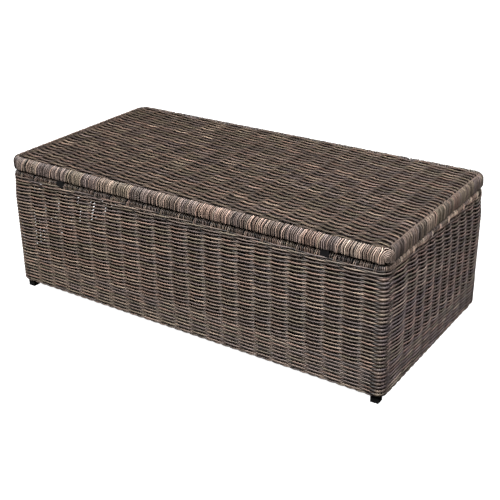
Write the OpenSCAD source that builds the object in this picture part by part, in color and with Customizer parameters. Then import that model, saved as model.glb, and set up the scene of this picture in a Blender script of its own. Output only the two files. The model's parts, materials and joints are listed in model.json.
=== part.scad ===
// Storage coffee table in round wicker: an open-topped woven box on an aluminium tube frame,
// with a woven lid that opens upwards on two rear hinges and is held by two gas struts.
// Origin: centre of the footprint, on the floor. +X along the length, -Y is the front.

/* [Table] */
// Overall length, over the lid
table_l = 1300; // [1200:10:1500]
// Overall depth, over the lid
table_w = 655; // [610:5:760]
// Overall height, top of the lid
table_h = 448; // [430:1:480]

/* [Lid] */
// Height of the lid's wrapped edge
lid_h = 41; // [41:1:50]
// How far the lid stands out past the body on every side
lid_overhang = 4; // [4:0.5:6]
// Open seam between the lid and the body's rim
seam = 4; // [4:0.5:5]
// Corner radius of the lid, seen from above
lid_corner_r = 40; // [20:1:44]
// Number of cross bars under the lid's weave
lid_bars = 3; // [3]
// Distance between the lid's cross bars
lid_bar_pitch = 325; // [250:5:400]

/* [Wicker] */
// Thickness of the woven walls and of the woven top
weave_t = 15; // [13:1:15]
// Diameter of the strand wrapped round the rims
wrap_t = 5; // [4:0.5:5]
// How far the woven walls stand back from the rim
weave_recess = 1; // [0.5:0.5:2]
// Corner radius of the body's wicker, seen from above
corner_r = 28; // [18:1:30]
// Height of the wicker's lower edge above the floor
foot_gap = 27; // [25:1:40]

/* [Frame] */
// Side of the square frame tube
tube = 20; // [20]
// Wall of the frame tube
tube_wall = 1.5; // [1.2:0.1:2]
// How far the corner posts stand in from the rim's outer face
post_inset = 12; // [10:0.5:13]
// Distance between the floor's cross bars
floor_bar_pitch = 450; // [350:10:520]
// Thickness of the floor board
floor_t = 8; // [6:1:12]
// Thickness of the foot plug under the post
plug_t = 4; // [3:0.5:6]
// Wall of the foot plug's sleeve, which reaches up round the post
sleeve_wall = 1.7; // [1.2:0.1:2]

/* [Lid buffers] */
// Position of the left rubber buffer on the front rim
buffer_left_x = -436; // [-480:2:-380]
// Position of the right rubber buffer on the front rim
buffer_right_x = 470; // [380:2:480]
// Width of a buffer
buffer_w = 26; // [20:1:30]

/* [Hinges] */
// Distance of each hinge from the middle of the table
hinge_x = 450; // [350:5:500]
// Length of a hinge along the lid's edge
hinge_l = 72; // [60:2:80]
// Length of the middle knuckle, which belongs to the lid's leaf
knuckle_l = 24; // [20:1:30]
// Outer radius of the knuckles
knuckle_r = 4.5; // [4.5]
// Radius of the hinge pin
pin_r = 2; // [1.5:0.1:2.2]

/* [Gas struts] */
// Distance from the hinge axis to both pivots of a strut
strut_arm = 240; // [230:1:245]
// Distance of the struts from the middle of the table
strut_inset = 53; // [53:1:56]
// Outer radius of the strut's cylinder
cylinder_r = 9; // [9]
// Radius of the strut's rod
rod_r = 4; // [3.5:0.5:4]

/* [Hidden] */
$fn = 48;

frame_colour = [0.08, 0.08, 0.09];
wicker_colour = [0.42, 0.37, 0.33];
rubber_colour = [0.05, 0.05, 0.05];
steel_colour = [0.7, 0.7, 0.72];
board_colour = [0.2, 0.17, 0.15];

eps = 0.01;                                 // overshoot of a cutting tool past a face
big = 2000;                                 // longer than the table in every direction

// Plan sizes are half widths, measured from the table's middle: [along X, along Y].
lid_half = [table_l, table_w] / 2;
rim_half = lid_half - [lid_overhang, lid_overhang];
top_rail_half = rim_half - [wrap_t, wrap_t];
weave_half = rim_half - [weave_recess, weave_recess];
weave_inner = weave_half - [weave_t, weave_t];
post_half = rim_half - [post_inset, post_inset];
lid_rail_half = lid_half - [wrap_t, wrap_t];
rim_inner = rim_half - [tube + 2 * wrap_t, tube + 2 * wrap_t];
lid_inner = lid_half - [tube + 2 * wrap_t, tube + 2 * wrap_t];
lid_top_half = lid_half - [weave_t, weave_t];

// Levels above the floor.
lid_bottom = table_h - lid_h;
rim_top = lid_bottom - seam;
top_rail_top = rim_top - wrap_t;
top_rail_bottom = top_rail_top - tube;
weave_top = top_rail_bottom - wrap_t;
bottom_rail_z = foot_gap + 2;
floor_bar_z = bottom_rail_z + tube;
floor_z = floor_bar_z + tube;
lid_rail_z = lid_bottom + wrap_t;
lid_weave_z = table_h - weave_t;
lid_rail_h = lid_weave_z - lid_rail_z;
lid_bar_z = lid_weave_z - tube;

// Hinges: the axis lies in the middle of the seam, one knuckle radius inside the lid's rear edge.
hinge_y = lid_half[1] - knuckle_r;
hinge_z = lid_bottom - seam / 2;
leaf_t = 2;
leaf_outer_y = hinge_y - pin_r;             // rear edge of both leaves
leaf_inner_y = leaf_outer_y - 18;
knuckle_web = 2.5;                          // thickness of the web that carries a knuckle
knuckle_gap = 0.3;                          // end play between two knuckles
pin_play = 0.05;
pin_head_r = 3;
pin_head_t = 1.2;
hinge_gap = hinge_l + 8;                    // length of the notch in both rims at a hinge

// Screws.
screw_r = 1.95;
screw_hole_r = 2.05;
screw_head_r = 3.6;
screw_head_t = 1.6;
screw_l = 7;
hinge_screw_x = 24;                         // from the middle of the hinge
hinge_screw_y = leaf_inner_y + 7;

// Struts: both pivots are one arm away from the hinge axis, so pivots and axis form an isosceles
// triangle and each half of the strut turns by exactly half of the lid's angle.
strut_x = lid_half[0] - strut_inset;
body_pivot_angle = 252;                     // direction of the body pivot, from +Y towards +Z
lid_pivot_angle = 182;                      // direction of the lid pivot with the lid shut
lid_opening = 75;
strut_angle = (body_pivot_angle + lid_pivot_angle) / 2 - 90;
body_pivot = [hinge_y + strut_arm * cos(body_pivot_angle), hinge_z + strut_arm * sin(body_pivot_angle)];
lid_pivot = [hinge_y + strut_arm * cos(lid_pivot_angle), hinge_z + strut_arm * sin(lid_pivot_angle)];
strut_shut = 2 * strut_arm * sin((body_pivot_angle - lid_pivot_angle) / 2);
strut_open = 2 * strut_arm * sin((body_pivot_angle - lid_pivot_angle + lid_opening) / 2);
eye_r = 8;
eye_w = 10;
stud_r = 4;
stud_play = 0.05;
stud_shoulder_r = 7;
stud_clip_r = 6;
stud_clip_t = 2;
side_play = 0.3;                            // gap beside an eye
cylinder_start = 12;                        // distance of the cylinder's base from the body pivot
cylinder_end = 240;
cylinder_base_t = 12;
cylinder_guide_t = 11;
cylinder_bore_r = 8;
guide_play = 0.3;
piston_r = 7.6;
piston_l = 10;
piston_stop = 5;                            // distance left before the guide with the lid fully open
rod_l = strut_open - (cylinder_end - cylinder_guide_t - piston_stop - piston_l);
neck_r = 4.5;                               // slimmer than the eye is wide
bracket_t = 3;
body_bracket_drop = 46;                     // how far the body bracket reaches below its stud
body_bracket_rise = 10;
body_bracket_screws = [-20, -36];           // below the stud
lid_bracket_w = 30;
lid_bracket_flange_t = 2.5;
lid_bracket_foot = 10;                      // how far the lid bracket reaches below its stud
lid_bracket_screw_y = 8;
lid_bracket_screw_x = lid_rail_half[0] - tube / 2;

// Buffers: a rubber cap that sits on the front rail where the wrapping is left out.
buffer_lip_h = 12;                          // how far it hangs down the front of the rail
buffer_reach = 15;                          // how far it runs back over the rail
buffer_clear = 0.3;                         // gap left under the shut lid

lid_edge_r = 12;                            // rounding of the lid's long edges
rim_edge_r = 5;                             // rounding of the rim's long edges

// ---------- shared shapes ----------

// Rectangle with round corners, given by its half widths.
module round_rect(half, r) {
    square([2 * half[0], 2 * (half[1] - r)], center = true);
    square([2 * (half[0] - r), 2 * half[1]], center = true);
    for (sx = [-1, 1], sy = [-1, 1])
        translate([sx * (half[0] - r), sy * (half[1] - r)]) circle(r);
}

// Quarter of a rectangular ring, mitred at 45 degrees: side 0 front, 1 right, 2 back, 3 left.
module mitre(outer, inner, side) {
    o = [[-1, -1], [1, -1], [1, 1], [-1, 1]];
    a = o[side];
    b = o[(side + 1) % 4];
    polygon([
        [a[0] * outer[0], a[1] * outer[1]], [b[0] * outer[0], b[1] * outer[1]],
        [b[0] * inner[0], b[1] * inner[1]], [a[0] * inner[0], a[1] * inner[1]]
    ]);
}

// Square tube with its low corner at the origin, open along the given axis.
module box_tube(size, axis) {
    inner = [for (i = [0:2]) i == axis ? size[i] + 2 : size[i] - 2 * tube_wall];
    offset_in = [for (i = [0:2]) i == axis ? -1 : tube_wall];
    color(frame_colour) difference() {
        cube(size);
        translate(offset_in) cube(inner);
    }
}

module cylinder_x(r, l) {
    rotate([0, 90, 0]) cylinder(r = r, h = l, center = true);
}

// Bar of rectangular section along X or Y whose two outer long edges are rounded.
// It spans z0 to z1 and reaches from the middle out to the half width on the given side.
module edge_bar(half, side, z0, z1, r) {
    along_x = side % 2 == 0;
    reach = along_x ? half[1] : half[0];
    turn = side == 0 ? 180 : side == 1 ? -90 : side == 2 ? 0 : 90;
    rotate([0, 0, turn]) rotate([90, 0, 90])
        linear_extrude(height = big, center = true) {
            translate([0, z0]) square([reach - r, z1 - z0]);
            translate([0, z0 + r]) square([reach, z1 - z0 - 2 * r]);
            translate([reach - r, z0 + r]) circle(r);
            translate([reach - r, z1 - r]) circle(r);
        }
}

// One side of a wrapped rim: a mitred, rounded bar round the rail, without the rail itself.
module wrapped_side(side, outer, inner, plan_r, edge_r, z0, z1, rail, rail_z0, rail_z1) {
    color(wicker_colour) difference() {
        intersection() {
            translate([0, 0, z0]) linear_extrude(height = z1 - z0) intersection() {
                mitre(outer, inner, side);
                round_rect(outer, plan_r);
            }
            edge_bar(outer, side, z0, z1, edge_r);
        }
        translate([0, 0, rail_z0]) linear_extrude(height = rail_z1 - rail_z0) difference() {
            round_rect(rail, plan_r - wrap_t);
            square(2 * (rail - [tube, tube]), center = true);
        }
        children();
    }
}

// ---------- body frame ----------

module top_rail_long(back) {
    y0 = back ? top_rail_half[1] - tube : -top_rail_half[1];
    color(frame_colour) difference() {
        intersection() {
            translate([-top_rail_half[0], y0, top_rail_bottom])
                box_tube([2 * top_rail_half[0], tube, tube], 0);
            linear_extrude(height = big) round_rect(top_rail_half, corner_r + weave_recess - wrap_t);
        }
        if (back) hinge_screw_places() translate([0, 0, top_rail_top]) screw_hole();
    }
}

module top_rail_side(right) {
    x0 = right ? top_rail_half[0] - tube : -top_rail_half[0];
    inner_y = top_rail_half[1] - tube;
    intersection() {
        translate([x0, -inner_y, top_rail_bottom]) box_tube([tube, 2 * inner_y, tube], 1);
        linear_extrude(height = big) round_rect(top_rail_half, corner_r + weave_recess - wrap_t);
    }
}

module corner_post(sx, sy) {
    x0 = sx > 0 ? post_half[0] - tube : -post_half[0];
    y0 = sy > 0 ? post_half[1] - tube : -post_half[1];
    translate([x0, y0, plug_t]) box_tube([tube, tube, top_rail_bottom - plug_t], 2);
}

// Rubber foot: a sleeve round the end of the post, with a spigot inside the tube.
module foot_plug(sx, sy) {
    spigot = tube - 2 * tube_wall - 0.2;
    spigot_h = 18;
    socket = tube + 0.2;
    sleeve = socket + 2 * sleeve_wall;
    sleeve_h = foot_gap - 5;
    color(rubber_colour) translate([sx * (post_half[0] - tube / 2), sy * (post_half[1] - tube / 2), 0]) {
        difference() {
            translate([-sleeve / 2, -sleeve / 2, 0]) cube([sleeve, sleeve, sleeve_h]);
            translate([-socket / 2, -socket / 2, plug_t]) cube([socket, socket, sleeve_h]);
        }
        translate([-spigot / 2, -spigot / 2, 0]) cube([spigot, spigot, plug_t + spigot_h]);
    }
}

module bottom_rail_long(back) {
    inner_x = post_half[0] - tube;
    y0 = back ? weave_inner[1] - tube : -weave_inner[1];
    translate([-inner_x, y0, bottom_rail_z]) box_tube([2 * inner_x, tube, tube], 0);
}

module bottom_rail_side(right) {
    inner_y = weave_inner[1] - tube;
    x0 = right ? weave_inner[0] - tube : -weave_inner[0];
    translate([x0, -inner_y, bottom_rail_z]) box_tube([tube, 2 * inner_y, tube], 1);
}

// Upright between the side rails that carries the strut's lower bracket.
module side_upright(s) {
    difference() {
        translate([s > 0 ? weave_inner[0] - tube : -weave_inner[0], body_pivot[0] - tube / 2, floor_bar_z])
            box_tube([tube, tube, top_rail_bottom - floor_bar_z], 2);
        for (dz = body_bracket_screws)
            translate([s * (weave_inner[0] - tube), body_pivot[0], body_pivot[1] + dz])
                cylinder_x(screw_hole_r, 2 * tube_wall + 1);
    }
}

module floor_bar(i) {
    translate([i * floor_bar_pitch - tube / 2, -weave_inner[1], floor_bar_z])
        box_tube([tube, 2 * weave_inner[1], tube], 1);
}

module floor_panel() {
    half = [weave_inner[0] - tube - 0.5, weave_inner[1] - 1];
    color(board_colour) translate([0, 0, floor_z])
        linear_extrude(height = floor_t) square(2 * half, center = true);
}

// ---------- body wicker ----------

module weave_wall(side) {
    color(wicker_colour) translate([0, 0, foot_gap])
        linear_extrude(height = weave_top - foot_gap) difference() {
            intersection() {
                mitre(weave_half, weave_inner, side);
                round_rect(weave_half, corner_r);
            }
            for (sx = [-1, 1], sy = [-1, 1])
                translate([sx * (post_half[0] - tube / 2), sy * (post_half[1] - tube / 2)])
                    square(tube, center = true);
        }
}

module rim_wrap(side) {
    wrapped_side(side, rim_half, rim_inner, corner_r + weave_recess, rim_edge_r, weave_top, rim_top,
                 top_rail_half, top_rail_bottom, top_rail_top) {
        post_tops();
        if (side == 0) for (x = [buffer_left_x, buffer_right_x]) buffer_shape(x, rim_top);
        if (side == 2) hinge_notches(top_rail_half[1] - tube, top_rail_top, rim_top);
    }
}

// The space that the corner posts and side uprights take below the top rails.
module post_tops() {
    h = top_rail_bottom - weave_top + 1;
    for (sx = [-1, 1], sy = [-1, 1])
        translate([sx * (post_half[0] - tube / 2), sy * (post_half[1] - tube / 2), top_rail_bottom - h / 2])
            cube([tube, tube, h], center = true);
    for (sx = [-1, 1])
        translate([sx * (weave_inner[0] - tube / 2), body_pivot[0], top_rail_bottom - h / 2])
            cube([tube, tube, h], center = true);
}

// Notches for the hinges, open to the rear, between two levels.
module hinge_notches(y0, z0, z1) {
    for (s = [-1, 1])
        translate([s * hinge_x - hinge_gap / 2, y0, z0 - (z1 > lid_bottom ? eps : 0)])
            cube([hinge_gap, big, z1 - z0 + eps]);
}

// ---------- lid buffers ----------

module buffer_shape(x, top) {
    front = -rim_half[1];
    lip_y = rim_half[1] - top_rail_half[1];
    cap_h = top - top_rail_top;
    translate([x - buffer_w / 2, front, top_rail_top]) cube([buffer_w, lip_y + buffer_reach, cap_h]);
    translate([x - buffer_w / 2, front, top_rail_top - buffer_lip_h])
        cube([buffer_w, lip_y, cap_h + buffer_lip_h]);
}

module lid_buffer(x) {
    color(rubber_colour) buffer_shape(x, lid_bottom - buffer_clear);
}

// ---------- hinges and screws ----------

module hinge_screw_places() {
    for (s = [-1, 1], d = [-1, 1])
        translate([s * hinge_x + d * hinge_screw_x, hinge_screw_y, 0]) children();
}

module lid_bracket_screw_places(s) {
    for (d = [-1, 1])
        translate([s * lid_bracket_screw_x, lid_pivot[0] + d * lid_bracket_screw_y, 0]) children();
}

module screw_hole() {
    cylinder(r = screw_hole_r, h = 3 * leaf_t, center = true);
}

// Pan-head screw pointing down, with the underside of its head at the origin.
module screw() {
    cylinder(r = screw_head_r, h = screw_head_t);
    translate([0, 0, -screw_l]) cylinder(r = screw_r, h = screw_l + eps);
}

// One leaf: a plate on its rail, and one or two knuckles carried by a web.
// up = 1 for the lid's leaf above the axis, -1 for the body's leaf below it.
module hinge_leaf(s, up, spans) {
    plate_top = up > 0 ? lid_rail_z : top_rail_top + leaf_t;
    color(steel_colour) difference() {
        union() {
            translate([s * hinge_x - hinge_l / 2, leaf_inner_y, plate_top - leaf_t])
                cube([hinge_l, leaf_outer_y - leaf_inner_y, leaf_t]);
            for (span = spans) {
                l = span[1] - span[0];
                x = s * hinge_x + span[0];
                reach = up > 0 ? plate_top - hinge_z : hinge_z - plate_top + leaf_t;
                translate([x, leaf_outer_y - knuckle_web, up > 0 ? hinge_z : hinge_z - reach])
                    cube([l, knuckle_web, reach]);
                translate([x + l / 2, hinge_y, hinge_z]) cylinder_x(knuckle_r, l);
            }
        }
        translate([s * hinge_x, hinge_y, hinge_z]) cylinder_x(pin_r + pin_play, hinge_l + 2);
        for (d = [-1, 1])
            translate([s * hinge_x + d * hinge_screw_x, hinge_screw_y, plate_top - leaf_t / 2]) screw_hole();
    }
}

module hinge_body_leaf(s) {
    k = knuckle_l / 2;
    hinge_leaf(s, -1, [[-hinge_l / 2, -k], [k, hinge_l / 2]]);
}

module hinge_lid_leaf(s) {
    k = knuckle_l / 2 - knuckle_gap;
    hinge_leaf(s, 1, [[-k, k]]);
}

module hinge_pins() {
    color(steel_colour) for (s = [-1, 1]) translate([s * hinge_x, hinge_y, hinge_z]) {
        cylinder_x(pin_r, hinge_l + pin_head_t);
        for (e = [-1, 1])
            translate([e * (hinge_l + pin_head_t) / 2, 0, 0]) cylinder_x(pin_head_r, pin_head_t);
    }
}

module body_screws() {
    color(steel_colour) {
        hinge_screw_places() translate([0, 0, top_rail_top + leaf_t]) screw();
        for (s = [-1, 1], dz = body_bracket_screws)
            translate([s * (weave_inner[0] - tube - bracket_t), body_pivot[0], body_pivot[1] + dz])
                rotate([0, -90 * s, 0]) screw();
    }
}

module lid_screws() {
    color(steel_colour) {
        hinge_screw_places() translate([0, 0, lid_rail_z - leaf_t]) mirror([0, 0, 1]) screw();
        for (s = [-1, 1]) lid_bracket_screw_places(s)
            translate([0, 0, lid_rail_z - lid_bracket_flange_t]) mirror([0, 0, 1]) screw();
    }
}

// ---------- gas struts ----------

// Stud that holds an eye: a shoulder, the bearing length and a clip. root_x is the bracket's face.
module stud(s, root_x) {
    inner = strut_x - eye_w / 2 - side_play;
    outer = strut_x + eye_w / 2 + side_play;
    pin_l = outer - inner + stud_clip_t;
    translate([s * (root_x + outer) / 2, 0, 0]) cylinder_x(stud_shoulder_r, root_x - outer + 2 * eps);
    translate([s * (outer - pin_l / 2), 0, 0]) cylinder_x(stud_r, pin_l + eps);
    translate([s * (inner - stud_clip_t / 2), 0, 0]) cylinder_x(stud_clip_r, stud_clip_t);
}

module strut_body_bracket(s) {
    face = weave_inner[0] - tube;
    color(frame_colour) translate([0, body_pivot[0], body_pivot[1]]) difference() {
        union() {
            translate([s > 0 ? face - bracket_t : -face, -tube / 2, -body_bracket_drop])
                cube([bracket_t, tube, body_bracket_drop + body_bracket_rise]);
            stud(s, face - bracket_t);
        }
        for (dz = body_bracket_screws) translate([s * face, 0, dz]) cylinder_x(screw_hole_r, 3 * bracket_t);
    }
}

// L-shaped bracket: a flange under the lid's side rail and a plate that carries the stud.
module strut_lid_bracket(s) {
    plate_x = strut_x + eye_w / 2 + side_play + 6;
    flange_end = lid_rail_half[0] - 3;
    rise = lid_rail_z - lid_pivot[1];
    color(frame_colour) translate([0, lid_pivot[0], lid_pivot[1]]) difference() {
        union() {
            translate([s > 0 ? plate_x : -plate_x - bracket_t, -lid_bracket_w / 2, -lid_bracket_foot])
                cube([bracket_t, lid_bracket_w, rise + lid_bracket_foot]);
            translate([s > 0 ? plate_x : -flange_end, -lid_bracket_w / 2, rise - lid_bracket_flange_t])
                cube([flange_end - plate_x, lid_bracket_w, lid_bracket_flange_t]);
            stud(s, plate_x);
        }
        for (d = [-1, 1])
            translate([s * lid_bracket_screw_x, d * lid_bracket_screw_y, rise])
                cylinder(r = screw_hole_r, h = 3 * bracket_t, center = true);
    }
}

// Places its children with the origin at the body pivot and +Z along the strut.
module along_strut(s) {
    translate([s * strut_x, body_pivot[0], body_pivot[1]]) rotate([strut_angle - 90, 0, 0]) children();
}

module strut_cylinder(s) {
    bore_start = cylinder_start + cylinder_base_t;
    color(frame_colour) along_strut(s) difference() {
        union() {
            cylinder_x(eye_r, eye_w);
            cylinder(r = neck_r, h = cylinder_start + 1);
            translate([0, 0, cylinder_start]) cylinder(r = cylinder_r, h = cylinder_end - cylinder_start);
        }
        cylinder_x(stud_r + stud_play, eye_w + 2 * neck_r);
        translate([0, 0, bore_start])
            cylinder(r = cylinder_bore_r, h = cylinder_end - cylinder_guide_t - bore_start);
        translate([0, 0, cylinder_end - cylinder_guide_t - 1])
            cylinder(r = rod_r + guide_play, h = cylinder_guide_t + 2);
    }
}

module strut_rod(s) {
    color(steel_colour) along_strut(s) difference() {
        union() {
            translate([0, 0, strut_shut]) cylinder_x(eye_r, eye_w);
            translate([0, 0, strut_shut - rod_l]) cylinder(r = rod_r, h = rod_l);
            translate([0, 0, strut_shut - rod_l]) cylinder(r = piston_r, h = piston_l);
        }
        translate([0, 0, strut_shut]) cylinder_x(stud_r + stud_play, eye_w + 2);
    }
}

// ---------- lid ----------

module lid_rail_long(back) {
    y0 = back ? lid_rail_half[1] - tube : -lid_rail_half[1];
    color(frame_colour) difference() {
        intersection() {
            translate([-lid_rail_half[0], y0, lid_rail_z])
                box_tube([2 * lid_rail_half[0], tube, lid_rail_h], 0);
            linear_extrude(height = big) round_rect(lid_rail_half, lid_corner_r - wrap_t);
        }
        if (back) hinge_screw_places() translate([0, 0, lid_rail_z]) screw_hole();
    }
}

module lid_rail_side(s) {
    inner_y = lid_rail_half[1] - tube;
    x0 = s > 0 ? lid_rail_half[0] - tube : -lid_rail_half[0];
    difference() {
        intersection() {
            translate([x0, -inner_y, lid_rail_z]) box_tube([tube, 2 * inner_y, lid_rail_h], 1);
            linear_extrude(height = big) round_rect(lid_rail_half, lid_corner_r - wrap_t);
        }
        lid_bracket_screw_places(s) translate([0, 0, lid_rail_z]) screw_hole();
    }
}

module lid_bar(i) {
    inner_y = lid_rail_half[1] - tube;
    translate([i * lid_bar_pitch - tube / 2, -inner_y, lid_bar_z]) box_tube([tube, 2 * inner_y, tube], 1);
}

module lid_weave() {
    color(wicker_colour) translate([0, 0, lid_weave_z])
        linear_extrude(height = weave_t) square(2 * lid_top_half, center = true);
}

module lid_edge_wrap(side) {
    wrapped_side(side, lid_half, lid_inner, lid_corner_r, lid_edge_r, lid_bottom, table_h,
                 lid_rail_half, lid_rail_z, lid_weave_z) {
        translate([0, 0, lid_weave_z]) linear_extrude(height = big) square(2 * lid_top_half, center = true);
        if (side % 2 == 0) for (i = [-1:1]) lid_bar_space(i);
        if (side % 2 == 1) for (s = [-1, 1]) bracket_space(s);
        if (side == 2) hinge_notches(lid_rail_half[1] - tube, lid_bottom, lid_rail_z);
    }
}

module lid_bar_space(i) {
    l = 2 * (lid_rail_half[1] - tube);
    translate([i * lid_bar_pitch - tube / 2, -l / 2, lid_bar_z]) cube([tube, l, tube]);
}

// The space that a lid bracket's flange and screws take in the side wrapping.
module bracket_space(s) {
    l = tube + 2 * wrap_t;
    w = lid_bracket_w + 2;
    translate([s * (lid_rail_half[0] - 2 - l / 2), lid_pivot[0], lid_rail_z - wrap_t])
        cube([l, w, 2 * wrap_t], center = true);
}

top_rail_long(false);  // top_rail_front
top_rail_long(true);  // top_rail_back
top_rail_side(false);  // top_rail_left
top_rail_side(true);  // top_rail_right
corner_post(-1, -1);  // corner_post_front_left
corner_post(1, -1);  // corner_post_front_right
corner_post(-1, 1);  // corner_post_back_left
corner_post(1, 1);  // corner_post_back_right
bottom_rail_long(false);  // bottom_rail_front
bottom_rail_long(true);  // bottom_rail_back
bottom_rail_side(false);  // bottom_rail_left
bottom_rail_side(true);  // bottom_rail_right
side_upright(-1);  // side_upright_left
side_upright(1);  // side_upright_right
floor_bar(-1);  // floor_bar_left
floor_bar(0);  // floor_bar_middle
floor_bar(1);  // floor_bar_right
floor_panel();
foot_plug(-1, -1);  // foot_plug_front_left
foot_plug(1, -1);  // foot_plug_front_right
foot_plug(-1, 1);  // foot_plug_back_left
foot_plug(1, 1);  // foot_plug_back_right
weave_wall(0);  // weave_front
weave_wall(1);  // weave_right
weave_wall(2);  // weave_back
weave_wall(3);  // weave_left
rim_wrap(0);  // rim_wrap_front
rim_wrap(1);  // rim_wrap_right
rim_wrap(2);  // rim_wrap_back
rim_wrap(3);  // rim_wrap_left
lid_buffer(buffer_left_x);  // lid_buffer_left
lid_buffer(buffer_right_x);  // lid_buffer_right
hinge_body_leaf(-1);  // hinge_body_leaf_left
hinge_body_leaf(1);  // hinge_body_leaf_right
hinge_pins();
strut_body_bracket(-1);  // strut_body_bracket_left
strut_body_bracket(1);  // strut_body_bracket_right
body_screws();
lid_rail_long(false);  // lid_rail_front
lid_rail_long(true);  // lid_rail_back
lid_rail_side(-1);  // lid_rail_left
lid_rail_side(1);  // lid_rail_right
lid_bar(-1);  // lid_bar_left
lid_bar(0);  // lid_bar_middle
lid_bar(1);  // lid_bar_right
lid_weave();
lid_edge_wrap(0);  // lid_edge_wrap_front
lid_edge_wrap(1);  // lid_edge_wrap_right
lid_edge_wrap(2);  // lid_edge_wrap_back
lid_edge_wrap(3);  // lid_edge_wrap_left
hinge_lid_leaf(-1);  // hinge_lid_leaf_left
hinge_lid_leaf(1);  // hinge_lid_leaf_right
strut_lid_bracket(-1);  // strut_lid_bracket_left
strut_lid_bracket(1);  // strut_lid_bracket_right
lid_screws();
strut_cylinder(-1);  // strut_cylinder_left
strut_cylinder(1);  // strut_cylinder_right
strut_rod(-1);  // strut_rod_left
strut_rod(1);  // strut_rod_right
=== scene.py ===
"""Looks of the wicker storage coffee table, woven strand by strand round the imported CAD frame."""
import json
import math

import bpy
import numpy as np
from mathutils import Matrix, Vector


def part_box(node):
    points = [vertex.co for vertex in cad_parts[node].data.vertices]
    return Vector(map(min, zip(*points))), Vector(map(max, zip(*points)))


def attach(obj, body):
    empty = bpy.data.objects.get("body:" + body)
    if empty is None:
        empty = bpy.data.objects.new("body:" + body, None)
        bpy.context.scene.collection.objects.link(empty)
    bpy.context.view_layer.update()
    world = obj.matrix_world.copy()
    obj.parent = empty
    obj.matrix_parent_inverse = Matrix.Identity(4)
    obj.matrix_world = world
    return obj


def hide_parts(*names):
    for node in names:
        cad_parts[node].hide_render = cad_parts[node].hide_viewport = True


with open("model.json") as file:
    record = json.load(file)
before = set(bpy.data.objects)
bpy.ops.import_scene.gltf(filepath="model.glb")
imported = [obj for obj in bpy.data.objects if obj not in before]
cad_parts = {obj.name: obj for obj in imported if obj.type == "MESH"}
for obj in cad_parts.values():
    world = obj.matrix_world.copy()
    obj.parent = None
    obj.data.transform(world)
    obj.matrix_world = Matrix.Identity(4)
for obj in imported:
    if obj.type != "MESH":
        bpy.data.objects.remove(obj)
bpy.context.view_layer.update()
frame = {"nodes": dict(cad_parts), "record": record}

# Lengths below are in millimetres, in the frame's axes, unless a name says otherwise.
MM = 0.001
STRAND_R = 2.5                  # half width of the woven strand
UNDER_R = 4.6                   # the same where it lies squashed behind a stake
STRAND_FLAT = 0.8               # its thickness as a share of its width
WRAP_R = 2.1                    # radius of the strand wrapped round the edges
STAKE_R = 2.6                   # half width of the stiff strands it is woven round, which run in pairs
WEAVE_SWING = 3.2               # how far a strand swings out and in round a stake of a long wall
SIDE_SWING = 4.3                # the same on a short wall
TOP_SWING = 2.8                 # the same on the lid
ROW_TILT = (1.4, -2.7, 1.4, -2.7)   # how far the rows of each wall tilt where they pass a stake
TOP_STRAND_R = 1.95             # half width of the lid's strands
BULGE = (7, 4)                  # how far the walls bulge past the rim along X and along Y
TOP_BOW = 4.2                   # how far the rows of the lid are pressed forwards at each stake
ROW_PITCH = 5.35                # rows of the body
TOP_ROW_PITCH = 9.62            # pairs of strands on the lid
WRAP_PITCH = 5.4                # strands wrapped round the lid's edge
RIM_WRAP_PITCH = 5.2            # strands wrapped round the body's rim
RIM_WRAP_R = 1.95               # their radius
PAINTED_SIDE_SHADE = 0.92                    # how much darker the painted shade makes the shaded side of a strand
WALL_SHADED_SIDE = (177, 146)         # where that painted shade lies on the long and on the short walls, in degrees from up
TOP_SHADED_SIDE = 198                 # the same on the lid, in degrees from the back
CLOSENESS = (0, 0, 1, 0.45)     # how close the rows of each wall are packed, from 0 to 1
CLOSE_TO = 98                   # below this height the rows of every wall are packed close
CLOSE_FADE = 22                 # height over which that changes to the wall's own closeness
LID_STAKE_SHIFT = 8             # how far the lid's stakes stand to the right of the body's
HINGE_REACH = 42                # half the gap the lid's wraps leave at a hinge
RIM_HINGE_REACH = 40            # the same in the body's rim
WALL_TONE_AND_LIGHT = np.array([(1.05, 1.03, 1.0), (1.3, 1.34, 1.46)])     # tone of their strands, with painted light: the short walls' strands are brighter and bluer
SIDES = 6                       # sides of a strand's section
STEP = 5.8                      # spacing of the points along a woven strand


def node_box(name):
    """Lowest and highest corner of a CAD node, in millimetres."""
    low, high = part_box(name)
    return np.array(low) / MM, np.array(high) / MM


def outer_half(kind):
    """Half widths, bottom and top of the four-sided set of nodes whose names start with kind."""
    boxes = [node_box(f"{kind}_{side}") for side in ("front", "back", "left", "right")]
    low = np.min([b[0] for b in boxes], axis=0)
    high = np.max([b[1] for b in boxes], axis=0)
    return (high[0] - low[0]) / 2, (high[1] - low[1]) / 2, low[2], high[2]


# ---------------------------------------------------------------- colours

def linear(*srgb):
    """Linear colour of three 0-255 display values."""
    c = np.array(srgb) / 255
    return np.where(c <= 0.04045, c / 12.92, ((c + 0.055) / 1.055) ** 2.4)


STRAND_TONES = np.array([
    linear(82, 67, 59),         # pinkish brown
    linear(75, 64, 57),
    linear(73, 65, 55),         # greenish grey
    linear(67, 59, 52),
    linear(71, 61, 57),         # purplish grey
    linear(63, 55, 52),
    linear(90, 78, 68),         # pale straw brown
])
TONE_SHARES = np.array([0.19, 0.2, 0.15, 0.12, 0.14, 0.1, 0.1])


def dye(rng, n, m, step, mean_run=170.0, spread=0.1):
    """Colours of n strands at m points each, step apart: every strand changes tone along its length."""
    out = np.empty((n, m, 3))
    for i in range(n):
        runs = rng.exponential(mean_run, 4 + int(3 * m * step / mean_run)) + 25
        edges = np.cumsum(runs) - rng.uniform(0, mean_run)
        which = np.searchsorted(edges, np.arange(m) * step)
        tones = STRAND_TONES[rng.choice(len(STRAND_TONES), len(edges) + 1, p=TONE_SHARES)]
        gain = np.exp(rng.normal(0, spread, len(edges) + 1))
        out[i] = (tones * gain[:, None])[which]
    return out


# ---------------------------------------------------------------- strands

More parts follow.
